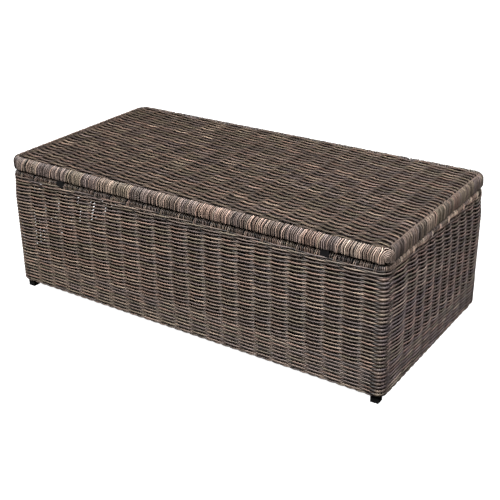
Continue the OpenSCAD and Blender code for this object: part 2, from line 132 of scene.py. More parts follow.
class Strands:
    """Collects round strands and turns them into one mesh with its colour and grain attributes."""

    def __init__(self, name):
        self.name = name
        self.rng = np.random.default_rng(sum(ord(c) * (i + 1) for i, c in enumerate(name)))
        self.verts, self.quads, self.caps, self.tint, self.grain = [], [], [], [], []
        self.count = 0

    def add(self, paths, ref, colours, radius=STRAND_R, closed=False, sides=SIDES, flat=1.0, grime=None):
        """paths is (n, m, 3); ref, a direction that is never parallel to a path, steadies the section.

        The last argument is the angle, from ref, of the side of the strand painted darker as shade.
        """
        p = np.asarray(paths, float)
        n, m, _ = p.shape
        along = np.roll(p, -1, 1) - np.roll(p, 1, 1) if closed else np.gradient(p, axis=1)
        along /= np.linalg.norm(along, axis=2, keepdims=True)
        ref = np.broadcast_to(ref, p.shape)
        a = ref - (ref * along).sum(2, keepdims=True) * along
        a /= np.linalg.norm(a, axis=2, keepdims=True)
        b = np.cross(along, a)
        angle = 2 * math.pi * np.arange(sides) / sides
        ring = a[:, :, None] * np.cos(angle)[:, None] + b[:, :, None] * flat * np.sin(angle)[:, None]
        r = np.broadcast_to(np.asarray(radius, float), (n, m))[:, :, None, None]
        self.verts.append((p[:, :, None] + r * ring).reshape(-1, 3))
        index = self.count + np.arange(n * m * sides).reshape(n, m, sides)
        self.count += n * m * sides
        here, there = (index, np.roll(index, -1, 1)) if closed else (index[:, :-1], index[:, 1:])
        quads = np.stack([here, np.roll(here, -1, 2), np.roll(there, -1, 2), there], -1)
        self.quads.append(quads.reshape(-1, 4))
        if not closed:
            self.caps.append(index[:, 0, ::-1])
            self.caps.append(index[:, -1])
        colours = np.broadcast_to(colours, (n, m, 3))[:, :, None] * np.ones((sides, 1))
        if grime is not None:
            # Painted shade: that side of the strand is darkened as if turned away from the light.
            colours = colours * (1 - PAINTED_SIDE_SHADE * ease(0.5 + 0.7 * np.cos(angle - math.radians(grime))))[:, None]
        self.tint.append(colours.reshape(-1, 3))
        length = np.linalg.norm(np.diff(p, axis=1, prepend=p[:, :1]), axis=2).cumsum(1)
        length += self.rng.uniform(0, 5000, (n, 1))
        grain = np.empty((n, m, sides, 3))
        grain[..., 0] = length[:, :, None]
        grain[..., 1] = STRAND_R * np.cos(angle)
        grain[..., 2] = STRAND_R * np.sin(angle)
        self.grain.append(grain.reshape(-1, 3) * MM)

    def build(self, material, body, replaces):
        """Mesh of all strands, which rides on a body and stands for the CAD nodes in replaces."""
        verts = np.concatenate(self.verts) * MM
        quads = np.concatenate(self.quads)
        caps = np.concatenate(self.caps) if self.caps else np.empty((0, SIDES), int)
        mesh = bpy.data.meshes.new(self.name)
        mesh.vertices.add(len(verts))
        mesh.vertices.foreach_set("co", verts.ravel())
        corners = np.concatenate([quads.ravel(), caps.ravel()])
        sizes = np.concatenate([np.full(len(quads), 4), np.full(len(caps), caps.shape[1])])
        mesh.loops.add(len(corners))
        mesh.loops.foreach_set("vertex_index", corners)
        mesh.polygons.add(len(sizes))
        mesh.polygons.foreach_set("loop_start", np.concatenate([[0], np.cumsum(sizes)[:-1]]))
        smooth = np.concatenate([np.ones(len(quads), bool), np.zeros(len(caps), bool)])
        mesh.polygons.foreach_set("use_smooth", smooth)
        mesh.update(calc_edges=True)
        mesh.validate()
        tint = mesh.attributes.new("tint", "FLOAT_COLOR", "POINT")
        rgba = np.column_stack([np.concatenate(self.tint), np.ones(len(verts))])
        tint.data.foreach_set("color", rgba.ravel())
        grain = mesh.attributes.new("grain", "FLOAT_VECTOR", "POINT")
        grain.data.foreach_set("vector", np.concatenate(self.grain).ravel())
        mesh.materials.append(material)
        piece = bpy.data.objects.new(self.name, mesh)
        bpy.context.scene.collection.objects.link(piece)
        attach(piece, body)
        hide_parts(*replaces)


def ripple(rng, n, s, size, waves=((90, 1.0), (210, 1.2), (480, 0.8))):
    """Slow sideways wander of n strands along s."""
    out = np.zeros((n, len(s)))
    for length, share in waves:
        turn = rng.uniform(0, 2 * math.pi, (n, 1))
        out += share * np.sin(2 * math.pi * s / (length * rng.uniform(0.8, 1.25, (n, 1))) + turn)
    return out * size / 1.7


def dive_shade(height, swing, deep=0.05, middle=0.75):
    """Painted shade on a strand where it dives under its neighbours: 1 on top, deep at the bottom."""
    return deep + (1 - deep) * ease(middle + 0.9 * height / swing)[..., None]


def smooth_max(a, b, width=1.2):
    """The larger of two values, with the step between them rounded."""
    return 0.5 * (a + b + np.sqrt((a - b) ** 2 + width ** 2))


def ease(t):
    """Smooth step from 0 to 1."""
    t = np.clip(t, 0, 1)
    return t * t * (3 - 2 * t)


# ---------------------------------------------------------------- outline and stakes

SIDE_NAMES = ("front", "right", "back", "left")


class Outline:
    """Rectangle with round corners, followed anticlockwise from the middle of the front left corner."""

    tangents = np.array([(1, 0), (0, 1), (-1, 0), (0, -1)], float)
    normals = np.array([(0, -1), (1, 0), (0, 1), (-1, 0)], float)

    def __init__(self, half_x, half_y, r):
        self.r = r
        self.flat = np.array([half_x - r, half_y - r] * 2) * 2
        self.reach = np.array([half_y, half_x] * 2)
        self.arc = math.pi * r / 2
        self.starts = np.concatenate([[0], np.cumsum(self.flat + self.arc)])
        self.length = self.starts[-1]

    def at(self, side, t):
        """Distance along the outline of the point t past the middle of a side."""
        return self.starts[side] + (self.arc + self.flat[side]) / 2 + np.asarray(t, float)

    def place(self, s):
        """Points and outward normals, each (..., 2)."""
        s = np.asarray(s, float) % self.length
        side = np.clip(np.searchsorted(self.starts, s, side="right") - 1, 0, 3)
        u = s - self.starts[side] - self.arc / 2
        flat = self.flat[side]
        bend = np.where(u < 0, u, np.where(u > flat, u - flat, 0)) / self.r
        t, n = self.tangents[side], self.normals[side]
        normal = n * np.cos(bend)[..., None] + t * np.sin(bend)[..., None]
        centre = t * (np.clip(u, 0, flat) - flat / 2)[..., None] + n * (self.reach[side] - self.r)[..., None]
        return centre + self.r * normal, normal

    def corner_distance(self, s):
        """Distance along the outline to the middle of the nearest corner."""
        s = np.asarray(s, float) % self.length
        return np.min(np.abs(s[..., None] - self.starts), axis=-1)


def long_stakes():
    """Places of the stakes along a long side, by hand and so not quite even."""
    k = np.arange(22)
    return -598 + 1212 * k / 21 + 14.5 * (1 - np.cos(2 * math.pi * k / 21))


def short_stakes():
    """Places of the stakes along a short side; the one next to the front corner stands wider."""
    k = np.arange(10)
    places = -226 + 59.5 * k - 0.5 * k * k
    places[0] -= 14
    return places


def stakes_round(outline):
    """All stakes of the body, as distances along the outline."""
    x, y = long_stakes(), short_stakes()
    return np.concatenate([
        outline.at(0, x), outline.at(1, y), outline.at(2, -x[::-1]), outline.at(3, -y[::-1])])


def weave_wave(s, stakes, length, turn=0.0):
    """+1 at even stakes and -1 at odd ones, swinging between them; turn delays it, in stakes."""
    s = np.asarray(s, float) % length
    k = np.searchsorted(stakes, s, side="right") - 1
    ext = np.concatenate([[stakes[-1] - length], stakes, [stakes[0] + length]])
    t = (s - ext[k + 1]) / (ext[k + 2] - ext[k + 1])
    return np.cos(math.pi * (k + t - turn))


# ---------------------------------------------------------------- materials

def nodes_of(name):
    """New material with its node tree and shader."""
    material = bpy.data.materials.new(name)
    material.use_nodes = True
    tree = material.node_tree
    return material, tree, tree.nodes["Principled BSDF"]


def add(tree, kind, inputs=(), **settings):
    """New node with its settings and inputs; an input is a value or the socket to link."""
    node = tree.nodes.new(kind)
    for key, value in settings.items():
        setattr(node, key, value)
    for key, value in dict(inputs).items():
        if isinstance(value, bpy.types.NodeSocket):
            tree.links.new(value, node.inputs[key])
        else:
            node.inputs[key].default_value = value
    return node


def scaled(tree, vector, scale):
    """Coordinates stretched by a scale for each axis."""
    return add(tree, "ShaderNodeMapping", {"Vector": vector, "Scale": scale}).outputs["Vector"]


def noise(tree, vector, scale, detail=3.0, rough=0.55):
    """Noise at some coordinates."""
    return add(tree, "ShaderNodeTexNoise",
               {"Vector": vector, "Scale": scale, "Detail": detail, "Roughness": rough}).outputs["Fac"]


def spread_to(tree, value, low, high, from_low=0.3, from_high=0.7):
    """Value stretched from the noise's usual range to low and high."""
    return add(tree, "ShaderNodeMapRange", {
        "Value": value, "From Min": from_low, "From Max": from_high, "To Min": low, "To Max": high,
    }).outputs["Result"]


def times(tree, colour, factor):
    """Colour multiplied by a factor."""
    node = add(tree, "ShaderNodeVectorMath", {0: colour, 1: factor}, operation="MULTIPLY")
    return node.outputs["Vector"]


def link_bump(tree, shader, height, strength, distance):
    """Relief on the surface from a height."""
    bump = add(tree, "ShaderNodeBump", {"Height": height, "Strength": strength, "Distance": distance})
    tree.links.new(bump.outputs["Normal"], shader.inputs["Normal"])


def wicker_material(name, shine):
    """Fibrous strand in the tone and painted shade of its vertices, with streaks along its grain."""
    material, tree, shader = nodes_of(name)
    tint = add(tree, "ShaderNodeAttribute", attribute_name="tint").outputs["Color"]
    grain = add(tree, "ShaderNodeAttribute", attribute_name="grain").outputs["Vector"]
    streaks = noise(tree, scaled(tree, grain, (14, 900, 900)), 1.0, 4.0, 0.6)
    blotch = noise(tree, scaled(tree, grain, (45, 120, 120)), 1.0, 2.0)
    colour = times(tree, tint, spread_to(tree, streaks, 0.62, 1.32))
    colour = times(tree, colour, spread_to(tree, blotch, 0.85, 1.14))
    tree.links.new(colour, shader.inputs["Base Color"])
    tree.links.new(spread_to(tree, streaks, 0.62, 0.4), shader.inputs["Roughness"])
    shader.inputs["Specular IOR Level"].default_value = shine
    link_bump(tree, shader, streaks, 0.35, 0.0004)
    return material


def coated_metal(name, colour, rough, metallic=0.0, grain=900.0, strength=0.12, shine=0.25):
    """Paint, plating or moulded plastic with a fine skin, faint patches and matching bump."""
    material, tree, shader = nodes_of(name)
    where = add(tree, "ShaderNodeTexCoord").outputs["Object"]
    fine = noise(tree, where, grain, 2.0)
    broad = noise(tree, where, 14.0, 3.0)
    base = add(tree, "ShaderNodeCombineXYZ", dict(zip("XYZ", colour))).outputs["Vector"]
    tree.links.new(times(tree, base, spread_to(tree, broad, 0.82, 1.2)), shader.inputs["Base Color"])
    tree.links.new(spread_to(tree, fine, rough - 0.08, rough + 0.08), shader.inputs["Roughness"])
    shader.inputs["Metallic"].default_value = metallic
    shader.inputs["Specular IOR Level"].default_value = shine
    link_bump(tree, shader, fine, strength, 0.0003)
    return material


def board_material():
    """Greyish brown board with fibres along X."""
    material, tree, shader = nodes_of("floor_board")
    where = add(tree, "ShaderNodeTexCoord").outputs["Object"]
    fibre = noise(tree, scaled(tree, where, (6, 160, 60)), 1.0, 5.0, 0.65)
    rings = noise(tree, scaled(tree, where, (1.2, 18, 5)), 1.0, 2.0)
    base = add(tree, "ShaderNodeCombineXYZ", dict(zip("XYZ", linear(74, 62, 54)))).outputs["Vector"]
    colour = times(tree, base, spread_to(tree, fibre, 0.65, 1.3))
    tree.links.new(times(tree, colour, spread_to(tree, rings, 0.8, 1.2)), shader.inputs["Base Color"])
    tree.links.new(spread_to(tree, fibre, 0.75, 0.58), shader.inputs["Roughness"])
    link_bump(tree, shader, fibre, 0.3, 0.0005)
    return material


# ---------------------------------------------------------------- body wicker

WALL_X, WALL_Y, WALL_BOTTOM, WALL_TOP = outer_half("weave")
RIM_X, RIM_Y, RIM_BOTTOM, RIM_TOP = outer_half("rim_wrap")
LID_X, LID_Y, LID_BOTTOM, LID_TOP = outer_half("lid_edge_wrap")
WALL_CORE = WEAVE_SWING + STRAND_R * STRAND_FLAT + 0.1      # from a wall's face to the middle of its weave
CORNER_R = 28                   # radius of the body's upright corners

ROW_HEIGHTS = np.arange(WALL_BOTTOM + 6.5, WALL_TOP - 1, ROW_PITCH)
wall_line = Outline(WALL_X - WALL_CORE, WALL_Y - WALL_CORE, CORNER_R - WALL_CORE)
wall_stakes = stakes_round(wall_line)


def bulge(normal, z):
    """How far the walls stand out at height z: nothing under the rim, most of it a little lower."""
    return (normal ** 2 @ np.array(BULGE, float)) * ease((WALL_TOP + 15 - z) / 80)


def row_colours(n, s):
    """Colours of the rows, which run on round the corners from wall to wall."""
    ring = dye(np.random.default_rng(11), n, int(wall_line.length / STEP) + 2, STEP)
    return ring[:, (s % wall_line.length / STEP).astype(int)]


def post_clearance(s):
    """How far out a row has to run, from the middle of the weave, to pass outside the corner posts."""
    away = wall_line.corner_distance(s)
    return -10 * ease((away - 18) / 8) + 2.8 * np.exp(-(away / 12) ** 2)


def wall_rows(side):
    """Every row of one wall, from the middle of one corner to the middle of the next."""
    strands = Strands("wicker_wall_" + SIDE_NAMES[side])
    rng = strands.rng
    start, end = wall_line.starts[side], wall_line.starts[side + 1]
    s = np.linspace(start - 1, end + 1, int((end - start) / STEP))
    step = s[1] - s[0]
    heights = ROW_HEIGHTS
    n = len(heights)
    parity = np.where(np.arange(n) % 2 == 0, 1.0, -1.0)[:, None]
    # Close rows let no light through.
    close = np.maximum(1 - ease((heights - CLOSE_TO) / CLOSE_FADE), CLOSENESS[side])[:, None]
    weave = parity * weave_wave(s, wall_stakes, wall_line.length)
    swing = (SIDE_SWING if side % 2 else WEAVE_SWING) * (1 - 0.5 * close) * weave
    fade = np.clip((s - start) / 40, 0, 1) * np.clip((end - s) / 40, 0, 1)
    swing = swing + ripple(rng, n, s, 0.35) * fade
    stand_out = 1.2 * (1 + parity) * np.exp(-(wall_line.corner_distance(s) / 14) ** 2)
    out = smooth_max(swing, post_clearance(s)) + stand_out
    tilt = ROW_TILT[side] * (1 - close) * parity * weave_wave(s, wall_stakes, wall_line.length, 0.5)
    z = heights[:, None] + (tilt + ripple(rng, n, s, 0.4)) * fade
    base, normal = wall_line.place(s)
    paths = np.empty((n, len(s), 3))
    paths[:, :, :2] = base + normal * (out + bulge(normal, z))[:, :, None]
    paths[:, :, 2] = z
    # Behind the stakes the strands spread.
    radius = STRAND_R + 0.8 * close + (UNDER_R - STRAND_R) * ease(-weave)
    # Round the corners the rows lie side by side.
    corner = np.exp(-(wall_line.corner_distance(s) / 13) ** 2)
    depth = weave * (1 - corner) + (0.2 * parity - 0.15) * corner + 0.1 * ripple(rng, n, s, 1.0)
    strands.add(paths, (0, 0, 1), WALL_TONE_AND_LIGHT[side % 2] * row_colours(n, s) * dive_shade(depth, 1.0), radius,
                flat=STRAND_FLAT, grime=WALL_SHADED_SIDE[side % 2])
    add_foot_border(strands, s, base, normal, step)
    add_stakes(strands, side)
    strands.build(SKINS[side % 2], "table", ["weave_" + SIDE_NAMES[side]])


def add_foot_border(strands, s, base, normal, step):
    """Two strands twisted into a border along the wall's lower edge."""
    turn = 2 * math.pi * s / 57
    paths = np.empty((2, len(s), 3))
    for i, sign in enumerate((1, -1)):
        out = np.maximum(sign * 2.3 * np.cos(turn) + 0.5, post_clearance(s)) + bulge(normal, WALL_BOTTOM)
        paths[i, :, :2] = base + normal * out[:, None]
        paths[i, :, 2] = WALL_BOTTOM + 2.4 + sign * 1.3 * np.sin(turn)
    strands.add(paths, (0, 0, 1), 0.6 * dye(strands.rng, 2, len(s), step))


def add_stakes(strands, side):
    """Pairs of upright stakes that one wall's rows are woven round."""
    inside = (wall_stakes >= wall_line.starts[side]) & (wall_stakes < wall_line.starts[side + 1])
    where = np.repeat(wall_stakes[inside], 2) + np.tile([-STAKE_R, STAKE_R], inside.sum())
    z = np.linspace(WALL_BOTTOM - 1, WALL_TOP + 4, 24)
    n = len(where)
    drift = where[:, None] + ripple(strands.rng, n, z, 0.7)
    base, normal = wall_line.place(drift)
    paths = np.empty((n, len(z), 3))
    paths[:, :, :2] = base + normal * bulge(normal, z)[:, :, None]
    paths[:, :, 2] = z
    # The stakes are painted near black, as painted shade in the gaps between the rows.
    strands.add(paths, (normal[:, :1, 0:1] * [1, 0, 0] + normal[:, :1, 1:2] * [0, 1, 0]),
                0.12 * dye(strands.rng, n, len(z), z[1] - z[0], 400), STAKE_R * 0.6, flat=1 / 0.6)


def soft_loop(corners, passes=2):
    """Rounded closed loop through a polygon of (outward, height) corners."""
    p = np.array(corners, float)
    for _ in range(passes):
        q = np.roll(p, -1, 0)
        p = np.stack([0.75 * p + 0.25 * q, 0.25 * p + 0.75 * q], 1).reshape(-1, 2)
    return p


def add_loops(strands, outline, places, profile, colours, lean=0.0, lift=0.0, closed=True,
              middle=0.0, radius=WRAP_R, over=0.0, shadow_z=0.0):
    """Strands wrapped round an edge at the given places.

    lean slants them by that much per mm of height, and over moves each point of the profile sideways.
    Painted shadow darkens them towards the height of the seam between lid and body, given last.
    """
    places = np.asarray(places, float)
    lean = np.broadcast_to(np.asarray(lean, float), places.shape)
    lift = np.broadcast_to(np.asarray(lift, float), places.shape)
    s = places[:, None] + lean[:, None] * (profile[:, 1] - middle) + over
    base, normal = outline.place(s)
    outward = profile[:, 0] + lift[:, None]
    room = np.where(outline.corner_distance(s) < outline.arc / 2 + 3, -outline.r + 1, -99)
    outward = np.maximum(outward, room)
    paths = np.empty(s.shape + (3,))
    paths[:, :, :2] = base + normal * outward[:, :, None]
    paths[:, :, 2] = profile[:, 1]
    _, n0 = outline.place(places)
    ref = np.stack([-n0[:, 1], n0[:, 0], np.zeros(len(n0))], -1)[:, None]
    # Painted shadow in the seam between lid and body; the wraps also get painted shade on one side.
    seam_shadow = 0.12 + 0.88 * ease(np.abs(shadow_z - paths[:, :, 2:]) / 9)
    strands.add(paths, ref, colours[:, None] * seam_shadow, radius, closed=closed, grime=0)


def group_tones(rng, places, bounds, spread=0.16):
    """One colour for each wrapped strand, close to the tone of its group."""
    group = np.searchsorted(bounds, places)
    tones = STRAND_TONES[rng.choice(len(STRAND_TONES), len(bounds) + 1, p=TONE_SHARES)]
    single = STRAND_TONES[rng.choice(len(STRAND_TONES), len(places), p=TONE_SHARES)]
    mix = rng.uniform(0, 0.6, (len(places), 1))
    return (tones[group] * (1 - mix) + single * mix) * np.exp(rng.normal(0, spread, (len(places), 1)))


rim_line = Outline(RIM_X, RIM_Y, CORNER_R + 1)
rim_stakes = stakes_round(rim_line)
# Section of a wrap round the body's rim: the lower part tucks in behind the top rows of the wall.
RIM_PROFILE = soft_loop([
    (-2.5, RIM_TOP - 2.5), (-2.5, RIM_TOP - 14), (-7.5, RIM_TOP - 19), (-7.5, RIM_BOTTOM + 2.5),
    (-27, RIM_BOTTOM + 2.5), (-27, RIM_TOP - 2.5)])
# The strands over the stakes reach further down, past the first row.
RIM_PAIR_PROFILE = soft_loop([
    (-2.5, RIM_TOP - 2.5), (-2.5, RIM_TOP - 22), (-6, RIM_TOP - 25), (-7.5, RIM_BOTTOM + 2.5),
    (-27, RIM_BOTTOM + 2.5), (-27, RIM_TOP - 2.5)])


def near(places, centres, reach):
    """Which of the places lie within reach of a centre."""
    return np.any(np.abs(places[:, None] - np.asarray(centres)[None]) < reach, axis=1)


def rim_places():
    """A group of wraps between neighbouring stakes, with a gap on its right."""
    places = []
    for a, b in zip(rim_stakes, np.append(rim_stakes[1:], rim_stakes[0] + rim_line.length)):
        places.extend(np.arange(a + 8, b - 9, RIM_WRAP_PITCH))
    return np.sort(np.array(places) % rim_line.length)


def middles(kind):
    """Middle along X of the left and the right node of a kind."""
    return [sum(corner[0] for corner in node_box(f"{kind}_{side}")) / 2 for side in ("left", "right")]


def buffer_places():
    """Places of the two buffers, as distances along the rim."""
    return [rim_line.at(0, x) for x in middles("lid_buffer")]


def hinge_places(outline):
    """Places of the two hinges, as distances along an outline."""
    return [outline.at(2, -x) for x in middles("hinge_lid_leaf")]


def rim(side):
    """Strands wrapped over one top rail of the body, and the last rows under them."""
    strands = Strands("wicker_rim_" + SIDE_NAMES[side])
    rng = strands.rng
    start, end = rim_line.starts[side], rim_line.starts[side + 1]

    def mine(places):
        places = places[(places >= start) & (places < end)]
        if side == 0:
            places = places[~near(places, buffer_places(), 13 + STRAND_R)]
        if side == 2:
            places = places[~near(places, hinge_places(rim_line), RIM_HINGE_REACH)]
        return places

    wraps = mine(rim_places())
    wraps = wraps + rng.normal(0, 0.5, len(wraps))
    add_loops(strands, rim_line, wraps, RIM_PROFILE, 1.5 * group_tones(rng, wraps, rim_stakes, 0.35),
              lean=rng.normal(0, 0.06, len(wraps)), lift=-rng.choice([0, 1.5], len(wraps), p=(0.75, 0.25)),
              middle=RIM_TOP - 8, radius=RIM_WRAP_R, shadow_z=RIM_TOP)
    for sign in (-1, 1):
        pair = mine(rim_stakes) + sign * 2.5
        add_loops(strands, rim_line, pair, RIM_PAIR_PROFILE, 2.4 * group_tones(rng, pair, rim_stakes),
                  lean=0.2, lift=1.0, middle=RIM_TOP - 6, shadow_z=RIM_TOP)
    s = np.linspace(start, end, int((end - start) / STEP))
    base, normal = rim_line.place(s)
    # Last rows of the weave, kept nearly flat by the rail behind them.
    fade = np.clip((s - start) / 40, 0, 1) * np.clip((end - s) / 40, 0, 1)
    heights = ROW_HEIGHTS[-1] + ROW_PITCH * np.arange(1, 4)
    parity = np.array([1, -1, 1])[:, None]
    weave = parity * weave_wave(s, rim_stakes, rim_line.length)
    tilt = ROW_TILT[side] * parity * weave_wave(s, rim_stakes, rim_line.length, 0.5)
    lines = np.empty((3, len(s), 3))
    lines[:, :, :2] = base + normal * (1.5 * weave - 1.0)[:, :, None]
    lines[:, :, 2] = heights[:, None] + (0.6 * tilt + ripple(rng, 3, s, 0.35)) * fade
    tones = dye(rng, 3, len(s), s[1] - s[0]) * dive_shade(weave, 1.0, 0.1)
    strands.add(lines, (0, 0, 1), tones, STRAND_R + 0.6 * CLOSENESS[side], flat=STRAND_FLAT,
                grime=WALL_SHADED_SIDE[side % 2])
    strands.build(SKINS[side % 2], "table", ["rim_wrap_" + SIDE_NAMES[side]])


# ---------------------------------------------------------------- lid wicker

LID_CORNER_R = 40               # radius of the lid's corners, seen from above
TOP_SHADE = np.array((1.13, 1.1, 1.06))     # tone of the lid's strands
TOP_CORE = LID_TOP - TOP_SWING - TOP_STRAND_R * 0.9 - 0.1     # middle height of the lid's weave
RAIL_TOP = node_box("lid_rail_front")[1][2]
lid_line = Outline(LID_X, LID_Y, LID_CORNER_R)
lid_stakes = stakes_round(lid_line) + LID_STAKE_SHIFT
EDGE_PROFILE = soft_loop([
    (-2.2, LID_TOP - 17), (-2.2, LID_BOTTOM + 5), (-5, LID_BOTTOM + 2.3), (-27, LID_BOTTOM + 2.3),
    (-27, RAIL_TOP), (-18, RAIL_TOP + 2), (-17, LID_TOP - 5), (-15, LID_TOP - 2.2), (-9.5, LID_TOP - 3),
    (-4.2, LID_TOP - 8.5)])
# Over the top the strands slant forwards along the edge.
EDGE_SLANT = 7 * np.clip((EDGE_PROFILE[:, 1] - (LID_TOP - 19)) / 17, 0, 1)
EDGE_TONE_AND_LIGHT = (2.7, 0.72, 0.55, 0.72)         # tone of the edge's strands on each side, with painted light and shade: brightest on the front, darkest at the back
# At a hinge the strands stop above the leaf.
HINGE_EDGE_PROFILE = np.array([
    (-3.2, LID_BOTTOM + 8), (-2.4, LID_BOTTOM + 12), (-2.2, LID_TOP - 20), (-2.4, LID_TOP - 13),
    (-3.6, LID_TOP - 9), (-5.9, LID_TOP - 5.5), (-9, LID_TOP - 3.2), (-12.5, LID_TOP - 2.7),
    (-14.5, LID_TOP - 5), (-17, RAIL_TOP + 3)])


def lid_edge(side):
    """Strands wrapped round one edge of the lid."""
    strands = Strands("wicker_lid_edge_" + SIDE_NAMES[side])
    rng = strands.rng
    start, end = lid_line.starts[side], lid_line.starts[side + 1]
    places = []
    for a, b in zip(lid_stakes, np.append(lid_stakes[1:], lid_stakes[0] + lid_line.length)):
        count = max(2, round((b - a - 3.2) / WRAP_PITCH))
        places.extend(a + 4.3 + (b - a - 8.6) * np.arange(count) / (count - 1))
    places = np.sort(np.array(places) % lid_line.length)
    places = places[(places >= start) & (places < end)]
    places = places[~near(places, [lid_line.starts[1] + 1], 20.5)]
    places = places + rng.normal(0, 0.5, len(places))
    tones = EDGE_TONE_AND_LIGHT[side] * group_tones(rng, places, lid_stakes, 0.35)
    lean = rng.normal(0, 0.03, len(places))
    low = -rng.choice([0, 2.2], len(places), p=(0.7, 0.3))
    at_hinge = near(places, hinge_places(lid_line), HINGE_REACH) if side == 2 else np.zeros(len(places), bool)
    for profile, chosen, closed, over in (
            (EDGE_PROFILE, ~at_hinge, True, EDGE_SLANT), (HINGE_EDGE_PROFILE, at_hinge, False, 0)):
        if chosen.any():
            add_loops(strands, lid_line, places[chosen], profile, tones[chosen], lean[chosen], low[chosen],
                      closed=closed, middle=(LID_TOP + LID_BOTTOM) / 2, over=over, shadow_z=LID_BOTTOM - 2)
    slanting = lid_stakes[(lid_stakes >= start) & (lid_stakes < end)]
    if side == 2:
        slanting = slanting[~near(slanting, hinge_places(lid_line), HINGE_REACH)]
    slant_tones = 1.5 * EDGE_TONE_AND_LIGHT[side] * group_tones(rng, slanting, lid_stakes)
    add_loops(strands, lid_line, slanting, EDGE_PROFILE, slant_tones,
              lean=0.12, lift=0.6, middle=(LID_TOP + LID_BOTTOM) / 2, over=EDGE_SLANT,
              shadow_z=LID_BOTTOM - 2)
    if side == 0:
        add_corner_arches(strands, end)
    if side % 2:
        s = np.linspace(start + 25, end - 25, int((end - start) / STEP))
        base, normal = lid_line.place(s)
        line = np.empty((1, len(s), 3))
        line[0, :, :2] = base + normal * (-14.5 + ripple(rng, 1, s, 0.5)).T
        line[0, :, 2] = LID_TOP - 2.2
        strands.add(line, (0, 0, 1), 0.8 * dye(rng, 1, len(s), s[1] - s[0], 300), WRAP_R)
    strands.build(SKINS[side % 2], "lid", ["lid_edge_wrap_" + SIDE_NAMES[side]])


def add_corner_arches(strands, corner):
    """Nested arches of strand over the lid's front right corner, with a small coil inside."""
    t = np.linspace(-0.35, math.pi + 0.35, 40)
    z = LID_TOP - 24
    for half, rise, tone in ((21, 21.5, 2), (17, 17.6, 2.6), (13.2, 13.8, 2), (9.4, 10, 2.6)):
        height = np.where(np.sin(t) > 0, z + rise * np.sin(t), z + 55 * np.sin(t))
        add_curl(strands, corner, -half * np.cos(t), height, tone)
    t = np.linspace(0, 2 * math.pi, 24, endpoint=False)
    for half, rise, tone in ((5.6, 8.5, 2.1), (2, 4.5, 1.6)):
        add_curl(strands, corner, -half * np.cos(t), LID_BOTTOM + 14.5 + rise * np.sin(t), tone, closed=True)


def add_curl(strands, corner, along, z, tone, closed=False):
    """One strand that lies on the rounded face of the lid's edge."""
    z = np.clip(z, LID_BOTTOM + 3, LID_TOP - 2.6)
    base, normal = lid_line.place(corner + 2 + along)
    rounded = np.clip((z - (LID_TOP - 19)) / 16.5, 0, 1)
    outward = 0.3 - 13 * rounded ** 2.5
    path = np.empty((1, len(z), 3))
    path[0, :, :2] = base + normal * outward[:, None]
    path[0, :, 2] = z
    strands.add(path, normal[:, 0:1] * [1, 0, 0] + normal[:, 1:2] * [0, 1, 0], tone * STRAND_TONES[1], 1.6,
                closed=closed, grime=90)


def lid_top(half):
    """Rows of the lid's weave in front of the middle (half -1) or behind it (half 1)."""
    strands = Strands("wicker_top_" + ("front" if half < 0 else "back"))
    rng = strands.rng
    rows = np.arange(round((2 * (LID_Y - 20)) / TOP_ROW_PITCH))
    y = (rows - rows.mean()) * TOP_ROW_PITCH
    keep = y * half > (0 if half > 0 else -0.01)
    rows, y = np.repeat(rows[keep], 2), np.repeat(y[keep], 2)
    y = y + np.where(np.arange(len(y)) % 2 == 0, -1, 1) * (TOP_STRAND_R + 0.1)
    n = len(y)
    # Rows end along the rounded inner line of the edge.
    past = np.clip(np.abs(y) - (LID_Y - LID_CORNER_R), 0, None)
    limit = (LID_X - LID_CORNER_R + np.sqrt((LID_CORNER_R - 13) ** 2 - past ** 2))[:, None]
    s = np.linspace(-LID_X, LID_X, int(2 * LID_X / STEP))
    x = s * limit / LID_X
    stakes = long_stakes() + LID_STAKE_SHIFT
    k = np.concatenate([[stakes[0] - 57], stakes, [stakes[-1] + 57]])
    parity = np.where(rows % 2 == 0, 1.0, -1.0)[:, None]
    phase = np.interp(x, k, np.arange(len(k)))
    swing = TOP_SWING * parity * np.cos(math.pi * phase)
    z = TOP_CORE + swing + ripple(rng, n, s, 0.25)
    tuck = ease((np.abs(x) - (limit - 12)) / 8)
    z = z * (1 - tuck) + (TOP_CORE - 2) * tuck
    near_edge = np.clip((LID_Y - 22 - np.abs(y[:, None])) / 20, 0, 1)
    bow = TOP_BOW * np.cos(2 * math.pi * (phase - 0.086)) * near_edge
    paths = np.stack([x, y[:, None] - bow + ripple(rng, n, s, 0.35), z], -1)
    radius = TOP_STRAND_R + 0.7 * ease(-swing / TOP_SWING)
    shade = TOP_SHADE * dive_shade(swing, TOP_SWING, 0.03, 0.5)
    colours = dye(rng, n, len(s), s[1] - s[0], 120, 0.3) * shade
    strands.add(paths, (0, 1, 0), colours, radius, flat=0.9, grime=TOP_SHADED_SIDE)
    strands.build(SKINS[1], "lid", ["lid_weave"])


